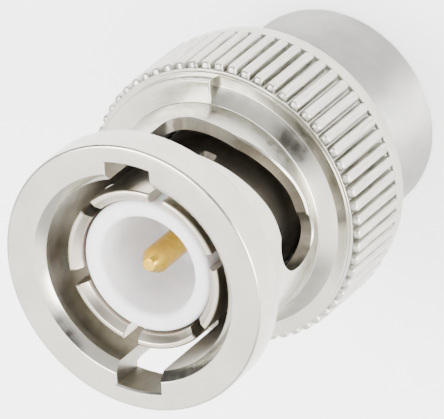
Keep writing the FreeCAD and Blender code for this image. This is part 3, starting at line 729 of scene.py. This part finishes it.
# Coupling nut: one turning in nickel-plated brass, with a flange round the mouth, a thin
# neck, a shoulder and a knurled grip. Two keyways let the studs of a jack in, and two
# milled helical cam slots, each with a round detent at its end, draw the plug home.
NUT_BORE = 4.9
BORE_CHAMFER = 0.45
FLANGE_RADIUS = 6.85
FLANGE_THICK = 2.05
NECK_RADIUS = 5.55
LAND_DEPTH = 8.1
LAND_RADIUS = 6.72
SHOULDER_DEPTH = 8.67
FLARE_RADIUS = 6.3
BROW_RADIUS = 6.9
GRIP_DEPTH = 8.98
GRIP_CORE = 7.0
VALLEY_RADIUS = 6.9
RIDGE_RADIUS = 7.3
GRIP_END = 13.1
RIM_RADIUS = 7.1
NUT_LENGTH = 14.0
CAVITY_RADIUS = 6.1
CAVITY_DEPTH = 9.95
GROOVE_RADIUS = 6.4
GROOVE_DEPTH = 12.9
GROOVE_END = 13.6
RIDGE_COUNT = 62
COLUMNS = RIDGE_COUNT * 5
MOUTH_EDGE = 0.16
FLANGE_BACK = 0.25
NECK_CORNER = 0.35
CREASE_ROUND = 0.06
BROW_BACK = 0.05
FIRST_GROOVE = 0.08
BAND_TOP = 0.09
BAND_RISE = 0.02
BAND_FOOT = 0.16
SECOND_GROOVE = 0.2
RIM_STEP = 0.02
RIM_ROUND = 0.3
CAVITY_CHAMFER = 0.08
LAND_BEVEL = 0.06
HAIR = 0.01
SLACK = 0.001

nut = drawn("knurled_nut", [
    (NUT_BORE, FACE - BORE_CHAMFER, 0.04),
    (NUT_BORE + BORE_CHAMFER, FACE, 0.05),
    (FLANGE_RADIUS, FACE, MOUTH_EDGE),
    (FLANGE_RADIUS, FACE - FLANGE_THICK + FLANGE_BACK, 0.06),
    (FLANGE_RADIUS - FLANGE_BACK, FACE - FLANGE_THICK, 0.05),
    (NECK_RADIUS, FACE - FLANGE_THICK, NECK_CORNER),
    (NECK_RADIUS, FACE - LAND_DEPTH, CREASE_ROUND),
    (FLARE_RADIUS, FACE - SHOULDER_DEPTH, 0.02),
    (LAND_RADIUS, FACE - SHOULDER_DEPTH),
    (BROW_RADIUS, FACE - SHOULDER_DEPTH, 0.04),
    (BROW_RADIUS - BROW_BACK, FACE - SHOULDER_DEPTH - FIRST_GROOVE),
    (GRIP_CORE + BAND_RISE, FACE - SHOULDER_DEPTH - BAND_TOP, 0.03),
    (GRIP_CORE + BAND_RISE, FACE - SHOULDER_DEPTH - BAND_FOOT, 0.02),
    (VALLEY_RADIUS, FACE - SHOULDER_DEPTH - SECOND_GROOVE),
    (VALLEY_RADIUS, FACE - GRIP_END, 0.03),
    (RIM_RADIUS, FACE - GRIP_END - RIM_STEP, 0.04),
    (RIM_RADIUS, FACE - NUT_LENGTH, RIM_ROUND),
    (CAVITY_RADIUS + CAVITY_CHAMFER, FACE - NUT_LENGTH, 0.03),
    (CAVITY_RADIUS, FACE - NUT_LENGTH + CAVITY_CHAMFER, 0.03),
    (CAVITY_RADIUS, FACE - GROOVE_END),
    (GROOVE_RADIUS, FACE - GROOVE_END),
    (GROOVE_RADIUS, FACE - GROOVE_DEPTH),
    (CAVITY_RADIUS, FACE - GROOVE_DEPTH),
    (CAVITY_RADIUS, FACE - CAVITY_DEPTH),
    (NUT_BORE, FACE - CAVITY_DEPTH, 0.05),
])
spun(COLUMNS)


# The land: half of the shoulder stands 0.57 mm higher, on the +Y side.
def on_shoulder(middle, normal):
    """True for the +Y half of the sloping shoulder, between the neck and the brow."""
    across = math.hypot(middle.x, middle.y)
    sloping = FACE - SHOULDER_DEPTH - HAIR < middle.z < FACE - LAND_DEPTH and normal.z > 0.1
    return middle.y > 0 and NECK_RADIUS < across < LAND_RADIUS and sloping


choose("FACE", on_shoulder)
bpy.ops.mesh.extrude_region_move(TRANSFORM_OT_translate={"value": (0, 0, 0)})
bpy.ops.transform.resize(value=(1, 1, 0), center_override=(0, 0, FACE - LAND_DEPTH))
bpy.ops.mesh.select_all(action="SELECT")
bpy.ops.mesh.remove_doubles(threshold=MERGE)
bpy.ops.mesh.dissolve_degenerate(threshold=MERGE)


def on_land_edge(middle, edge):
    """True for the outer and the two end edges of the land's top."""
    if any(abs(end.co.z - FACE + LAND_DEPTH) > SLACK for end in edge.verts):
        return False
    rounds = [math.hypot(end.co.x, end.co.y) for end in edge.verts]
    outer = middle.y > HAIR and min(rounds) > LAND_RADIUS - SLACK
    ends = abs(middle.y) < SLACK and max(rounds) < LAND_RADIUS + SLACK
    return outer or ends


choose("EDGE", on_land_edge)
bpy.ops.mesh.bevel(offset=LAND_BEVEL, offset_type="OFFSET", segments=3, affect="EDGES")

# The cut-outs, each one twice, on opposite sides. Their tools flare where they leave the
# metal, so that every edge is left lightly broken.
KEYWAY_WIDTH = 2.38
KEYWAY_FLOOR = 5.9
ENTRY_REACH = 2.7
ENTRY_DEPTH = 6.43
ENTRY_CORNER = 0.9
SLOT_WIDTH = 2.6
SLOT_ENTRY = 4.47
SLOT_LEAD = 9.0
SLOT_LEVEL = 66
SLOT_BLEND = 8
SLOT_LAST = 80
SLOT_STATION = 2
DETENT_ANGLE = 86
DETENT_RADIUS = 1.5
EDGE_BREAK = 0.08
CUTTER_START = 4.0
CUTTER_END = 6.2
CUTTER_FLARE = 0.28
BELOW_FLANGE = 1.2
ABOVE_FACE = 0.3


def slot_depth(angle):
    """How far the slot's middle lies behind the mating face after this much clockwise turn."""
    if angle <= SLOT_LEVEL - SLOT_BLEND:
        run = angle
    elif angle >= SLOT_LEVEL + SLOT_BLEND:
        run = SLOT_LEVEL
    else:
        run = angle - (angle - SLOT_LEVEL + SLOT_BLEND) ** 2 / (4 * SLOT_BLEND)
    return SLOT_ENTRY + SLOT_LEAD * run / 360


half = KEYWAY_WIDTH / 2
floor_side = KEYWAY_FLOOR * math.cos(half / KEYWAY_FLOOR)
floor_quarter = KEYWAY_FLOOR * math.cos(half / KEYWAY_FLOOR / 2)
keyway = drawn("keyways", [
    (CUTTER_START, half),
    (CUTTER_START, -half),
    (floor_side, -half),
    (floor_quarter, -half / 2),
    (KEYWAY_FLOOR, 0),
    (floor_quarter, half / 2),
    (floor_side, half),
])
bpy.ops.mesh.select_all(action="SELECT")
bpy.ops.mesh.edge_face_add()
bpy.ops.transform.rotate(value=math.pi / 2, orient_axis="X", center_override=(0, 0, 0))
bpy.ops.transform.translate(value=(0, 0, FACE - FLANGE_THICK - BELOW_FLANGE))
straight = FLANGE_THICK + BELOW_FLANGE - EDGE_BREAK
flared = EDGE_BREAK + ABOVE_FACE
for rise, flare in ((straight, 0.0), (flared, flared)):
    bpy.ops.mesh.extrude_region_move(TRANSFORM_OT_translate={"value": (0, 0, rise)})
    grow = (half + flare) / half
    bpy.ops.transform.resize(value=(grow, grow, 1), center_override=(KEYWAY_FLOOR - half, 0, 0))
repeated(2)
combined(nut, keyway, "DIFFERENCE")


def through_neck(half, tall, about):
    """Draw the open section out through the neck's wall, with a flare where it leaves it."""
    faced_out(CUTTER_START)
    wide = (half + CUTTER_FLARE) / half
    high = 1 + CUTTER_FLARE / tall
    grown([
        (CUTTER_START, 1, 1),
        (NECK_RADIUS - EDGE_BREAK, 1, 1),
        (NECK_RADIUS + OVERSHOOT, wide, high),
        (CUTTER_END, wide, high),
    ], about)


foot_top = FACE - FLANGE_THICK + HAIR
foot = drawn("keyway_feet", [
    (-half, foot_top),
    (-half, FACE - ENTRY_DEPTH, ENTRY_CORNER),
    (half, FACE - ENTRY_DEPTH),
    (half, foot_top),
])
through_neck(half, ENTRY_DEPTH - FLANGE_THICK, (0, 0, foot_top))
repeated(2)
combined(nut, foot, "DIFFERENCE")

half = ENTRY_REACH / 2
entry = drawn("entry_bars", [
    (0, FACE - SLOT_ENTRY),
    (0, FACE - ENTRY_DEPTH),
    (ENTRY_REACH, FACE - ENTRY_DEPTH),
    (ENTRY_REACH, FACE - SLOT_ENTRY),
])
through_neck(half, ENTRY_DEPTH - SLOT_ENTRY, (0, -half, FACE - SLOT_ENTRY))
repeated(2)
combined(nut, entry, "DIFFERENCE")

half = SLOT_WIDTH / 2
slot = drawn("cam_slots", [
    (CUTTER_START, -half),
    (NECK_RADIUS - EDGE_BREAK, -half),
    (NECK_RADIUS + OVERSHOOT, -half - CUTTER_FLARE),
    (CUTTER_END, -half - CUTTER_FLARE),
    (CUTTER_END, half + CUTTER_FLARE),
    (NECK_RADIUS + OVERSHOOT, half + CUTTER_FLARE),
    (NECK_RADIUS - EDGE_BREAK, half),
    (CUTTER_START, half),
])
bpy.ops.mesh.select_all(action="SELECT")
bpy.ops.mesh.edge_face_add()
bpy.ops.transform.translate(value=(0, 0, FACE - SLOT_ENTRY))
for angle in range(0, SLOT_LAST, SLOT_STATION):
    drop = slot_depth(angle) - slot_depth(angle + SLOT_STATION)
    bpy.ops.mesh.extrude_region_move(TRANSFORM_OT_translate={"value": (0, 0, drop)})
    bpy.ops.transform.rotate(
        value=math.radians(SLOT_STATION), orient_axis="Z", center_override=(0, 0, 0))
repeated(2)
combined(nut, slot, "DIFFERENCE")

detent = drawn("detents", [
    (CUTTER_START, 0),
    (CUTTER_START, DETENT_RADIUS),
    (NECK_RADIUS - EDGE_BREAK, DETENT_RADIUS),
    (NECK_RADIUS + OVERSHOOT, DETENT_RADIUS + CUTTER_FLARE),
    (CUTTER_END, DETENT_RADIUS + CUTTER_FLARE),
    (CUTTER_END, 0),
], ring=False)
bpy.ops.mesh.select_all(action="SELECT")
bpy.ops.mesh.spin(steps=64, angle=FULL_TURN, center=(0, 0, 0), axis=(1, 0, 0))
bpy.ops.mesh.select_all(action="SELECT")
bpy.ops.mesh.remove_doubles(threshold=MERGE)
bpy.ops.transform.translate(value=(0, 0, FACE - slot_depth(DETENT_ANGLE)))
turned_to(-math.radians(DETENT_ANGLE))
repeated(2)
combined(nut, detent, "DIFFERENCE")

# The knurl: 62 bars with steep flanks, blunt ends and a rounded crest. The ends are rounded
# by a little less than half the bars' width, because full half rounds do not join cleanly.
RIDGE_FOOT = VALLEY_RADIUS - 0.1
RIDGE_WIDTH = 0.66
RIDGE_LEAN = 0.1
RIDGE_CREST = 0.14
RIDGE_FRONT = 0.08
RIDGE_BACK = 0.05
FRONT_ROUND = 0.26
BACK_ROUND = 0.28
half = RIDGE_WIDTH / 2
knurl = drawn("knurl_bars", [
    (-half, FACE - GRIP_DEPTH + RIDGE_FRONT, FRONT_ROUND),
    (half, FACE - GRIP_DEPTH + RIDGE_FRONT, FRONT_ROUND),
    (half, FACE - GRIP_END + RIDGE_BACK, BACK_ROUND),
    (-half, FACE - GRIP_END + RIDGE_BACK, BACK_ROUND),
])
faced_out(RIDGE_FOOT)
bpy.ops.mesh.inset(thickness=RIDGE_LEAN, depth=0)
bpy.ops.transform.translate(value=(RIDGE_RADIUS - RIDGE_FOOT, 0, 0))
choose("EDGE", lambda co, edge: min(end.co.x for end in edge.verts) > RIDGE_RADIUS - SLACK)
bpy.ops.mesh.bevel(offset=RIDGE_CREST, offset_type="OFFSET", segments=5, affect="EDGES")
choose("VERT", lambda co: co.x < RIDGE_FOOT + SLACK)
bpy.ops.mesh.edge_face_add()
repeated(RIDGE_COUNT)
combined(nut, knurl, "UNION")
bpy.ops.object.mode_set(mode="EDIT")
bpy.ops.mesh.select_all(action="SELECT")
bpy.ops.mesh.dissolve_degenerate(threshold=MERGE)
brought_to_size(nut)
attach(nut, "nut")
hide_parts("coupling_nut")

# The nut's outside has bright nickel plate over fine turning marks.
BRIGHT_DARK = (0.45, 0.435, 0.375)
BRIGHT_LIGHT = (0.54, 0.525, 0.47)
bright_nickel = finish("bright_nickel", (0.50, 0.485, 0.425), 0.2, Metallic=1.0)
nut_turning = lathe_marks(bright_nickel, 0.07 * MM)
plating = mottle(bright_nickel, 0.5 * MM, 1.0)
shading = mottle(bright_nickel, 2.5 * MM)
tinted(bright_nickel, spread(bright_nickel, shading, 0, 1), BRIGHT_DARK, BRIGHT_LIGHT)
dulled(bright_nickel, spread(bright_nickel, plating, 0.16, 0.26))
raised(bright_nickel, (nut_turning, 0.003 * MM), (plating, 0.0012 * MM))
nut.data.materials.append(bright_nickel)

# The bore has a thinner, duller plate, and the cut walls keep the cutter's marks. Both also get
# a darker base colour than the outside, which is painted shade for these recessed walls.
BORE_DARK = (0.26, 0.245, 0.205)
BORE_LIGHT = (0.37, 0.355, 0.31)
shaded_bore_nickel = finish("shaded_bore_nickel", (0.32, 0.30, 0.26), 0.34, Metallic=1.0)
bore_turning = lathe_marks(shaded_bore_nickel, 0.09 * MM)
bore_haze = mottle(shaded_bore_nickel, 0.8 * MM)
tinted(shaded_bore_nickel, spread(shaded_bore_nickel, bore_haze, 0, 1), BORE_DARK, BORE_LIGHT)
dulled(shaded_bore_nickel, spread(shaded_bore_nickel, bore_turning, 0.28, 0.4))
raised(shaded_bore_nickel, (bore_turning, 0.004 * MM), (bore_haze, 0.002 * MM))
nut.data.materials.append(shaded_bore_nickel)

# Painted shade: the cut walls' darker base colour stands for the shade inside the keyways and
# slots; the milling marks are real.
CUT_DARK = (0.26, 0.24, 0.20)
CUT_LIGHT = (0.33, 0.31, 0.265)
shaded_cut_nickel = finish("shaded_cut_nickel", (0.29, 0.27, 0.225), 0.3, Metallic=1.0)
milling = lathe_marks(shaded_cut_nickel, 0.7 * MM, 80)
tinted(shaded_cut_nickel, spread(shaded_cut_nickel, milling, 0, 1), CUT_DARK, CUT_LIGHT)
dulled(shaded_cut_nickel, spread(shaded_cut_nickel, milling, 0.28, 0.38))
raised(shaded_cut_nickel, (milling, 0.0008 * MM))
nut.data.materials.append(shaded_cut_nickel)

# The knurl is rolled, so it has drawn lines along it and a dull finish. Its base colour carries
# painted shade: darker towards the valleys and lighter towards the crests, by the radius alone,
# mixed with the drawn lines.
VALLEY_PAINTED_SHADE = (0.20, 0.195, 0.17)
CREST_PAINTED_LIGHT = (0.64, 0.625, 0.57)
CREST_SHARE = 0.4
STREAK_SHARE = 0.6
knurled_nickel = finish("knurled_nickel", (0.50, 0.485, 0.44), 0.35, Metallic=1.0)
streaks = lathe_marks(knurled_nickel, 1.2 * MM, 100)
pits = mottle(knurled_nickel, 0.2 * MM)
sideways = added(
    knurled_nickel, "VectorMath", {0: object_place(knurled_nickel), 1: (1, 1, 0)},
    operation="MULTIPLY").outputs[0]
across = added(knurled_nickel, "VectorMath", {0: sideways}, operation="LENGTH").outputs["Value"]
# Painted shade: this ramp darkens the colour towards the valley floor and lightens it towards
# the crest.
height = added(
    knurled_nickel, "MapRange",
    {"Value": across, "From Min": VALLEY_RADIUS * MM, "From Max": (RIDGE_RADIUS - 0.04) * MM,
     "To Min": 0.0, "To Max": CREST_SHARE}).outputs[0]
drawn_lines = spread(knurled_nickel, streaks, 0, STREAK_SHARE)
shade_and_streaks = added(knurled_nickel, "Math", {0: height, 1: drawn_lines})
tinted(knurled_nickel, shade_and_streaks.outputs[0], VALLEY_PAINTED_SHADE, CREST_PAINTED_LIGHT)
dulled(knurled_nickel, spread(knurled_nickel, streaks, 0.26, 0.44))
raised(knurled_nickel, (streaks, 0.03 * MM), (pits, 0.01 * MM))
nut.data.materials.append(knurled_nickel)

bpy.ops.object.mode_set(mode="EDIT")


def in_bore(middle, normal):
    """True for the wall of the bore, from its chamfer down to the cavity."""
    across = math.hypot(middle.x, middle.y) / MM
    return across < NUT_BORE + 0.005 and middle.z > (FACE - CAVITY_DEPTH) * MM


def on_cut_wall(middle, normal):
    """True for the walls of the keyways and cam slots."""
    across = math.hypot(middle.x, middle.y) / MM
    depth = FACE - middle.z / MM
    in_neck = (
        NUT_BORE + 0.02 < across < NECK_RADIUS - 0.1
        and FLANGE_THICK + 0.05 < depth < LAND_DEPTH
    )
    in_flange = (
        NUT_BORE + 0.1 < across < KEYWAY_FLOOR + 0.05
        and depth < FLANGE_THICK + 0.1
        and abs(normal.z) < 0.3
    )
    return in_neck or in_flange


def on_knurl(middle, normal):
    """True for the bars of the grip and the valleys between them."""
    across = math.hypot(middle.x, middle.y) / MM
    depth = FACE - middle.z / MM
    return across > VALLEY_RADIUS - 0.02 and SHOULDER_DEPTH + 0.18 < depth < GRIP_END + 0.06


for index, test in ((1, in_bore), (2, on_cut_wall), (3, on_knurl)):
    choose("FACE", test)
    nut.active_material_index = index
    bpy.ops.object.material_slot_assign()
bpy.ops.object.mode_set(mode="OBJECT")


# Floor and light: a sheet of white paper, one large soft lamp and a pale studio. The
# studio is brightest opposite the photographer, has a low window to the picture's right,
# and is darker at the left and just behind the camera.
FLOOR_SIZE = 4
FLOOR_GLOW = 1.3
SKY = 1.5
SKY_OPPOSITE = 2.7
OPPOSITE_LIFT = 1.4
SKY_RIGHT = 3.0
RIGHT_AZIMUTH = math.radians(-108)
RIGHT_ELEVATION = math.radians(38)
SKY_WINDOW = 22.0
WINDOW_AZIMUTH = math.radians(-84)
WINDOW_ELEVATION = math.radians(14)
SKY_LEFT = -1.4
LEFT_AZIMUTH = math.radians(70)
LEFT_ELEVATION = math.radians(15)
SKY_BEHIND_CAMERA = -1.4
LAMP_AZIMUTH = math.radians(60)
LAMP_ELEVATION = math.radians(65)
LAMP_DISTANCE = 0.5
LAMP_SIZE = 0.3
LAMP_POWER = 4.0
PAPER_DARK = (0.84, 0.84, 0.84)
PAPER_LIGHT = (0.86, 0.86, 0.86)

bpy.ops.object.select_all(action="DESELECT")
bpy.ops.mesh.primitive_plane_add(size=FLOOR_SIZE, location=(0, 0, 0))
floor = bpy.context.active_object
floor.name = "floor"
paper = finish("paper", (0.85, 0.85, 0.85), 0.8, Emission_Strength=FLOOR_GLOW)
paper.node_tree.nodes["Principled BSDF"].inputs["Emission Color"].default_value = (1, 1, 1, 1)
tooth = mottle(paper, 1.2 * MM, 4.0)
tinted(paper, spread(paper, tooth, 0, 1), PAPER_DARK, PAPER_LIGHT)
floor.data.materials.append(paper)


def sky_patch(centre, edge, full, strength):
    """A round patch that adds to the studio's light or takes from it, fading in between
    two cosines of the angle from its middle."""
    facing = added(studio, "TexCoord", {}).outputs["Generated"]
    near = added(studio, "VectorMath", {0: facing, 1: tuple(centre)}, operation="DOT_PRODUCT")
    return added(
        studio, "MapRange",
        {"Value": near.outputs["Value"], "From Min": edge, "From Max": full,
         "To Min": 0.0, "To Max": strength}, interpolation_type="SMOOTHSTEP").outputs[0]


def toward(azimuth, elevation):
    """The direction of one part of the studio, seen from the plug."""
    return Vector((
        math.cos(elevation) * math.cos(azimuth),
        math.cos(elevation) * math.sin(azimuth),
        math.sin(elevation),
    ))


studio = bpy.data.worlds.new("studio")
studio.use_nodes = True
opposite = Vector((-back.x, -back.y, back.z * OPPOSITE_LIFT)).normalized()
brightness = SKY
for centre, edge, full, strength in (
    (opposite, 0.45, 0.95, SKY_OPPOSITE),
    (toward(RIGHT_AZIMUTH, RIGHT_ELEVATION), 0.8, 0.97, SKY_RIGHT),
    (toward(WINDOW_AZIMUTH, WINDOW_ELEVATION), 0.90, 0.99, SKY_WINDOW),
    (toward(LEFT_AZIMUTH, LEFT_ELEVATION), 0.6, 0.95, SKY_LEFT),
    (back, 0.945, 0.985, SKY_BEHIND_CAMERA),
):
    patch = sky_patch(centre, edge, full, strength)
    brightness = added(studio, "Math", {0: brightness, 1: patch}).outputs[0]
sky = studio.node_tree.nodes["Background"]
sky.inputs["Color"].default_value = (1.0, 0.99, 0.97, 1)
studio.node_tree.links.new(brightness, sky.inputs["Strength"])
bpy.context.scene.world = studio

lamp = bpy.data.lights.new("lamp", "AREA")
lamp.size = LAMP_SIZE
lamp.energy = LAMP_POWER
toward_lamp = toward(LAMP_AZIMUTH, LAMP_ELEVATION)
lamp_stand = bpy.data.objects.new("lamp", lamp)
lamp_stand.matrix_world = (
    Matrix.Translation(toward_lamp * LAMP_DISTANCE)
    @ toward_lamp.to_track_quat("Z", "Y").to_matrix().to_4x4()
)
bpy.context.scene.collection.objects.link(lamp_stand)
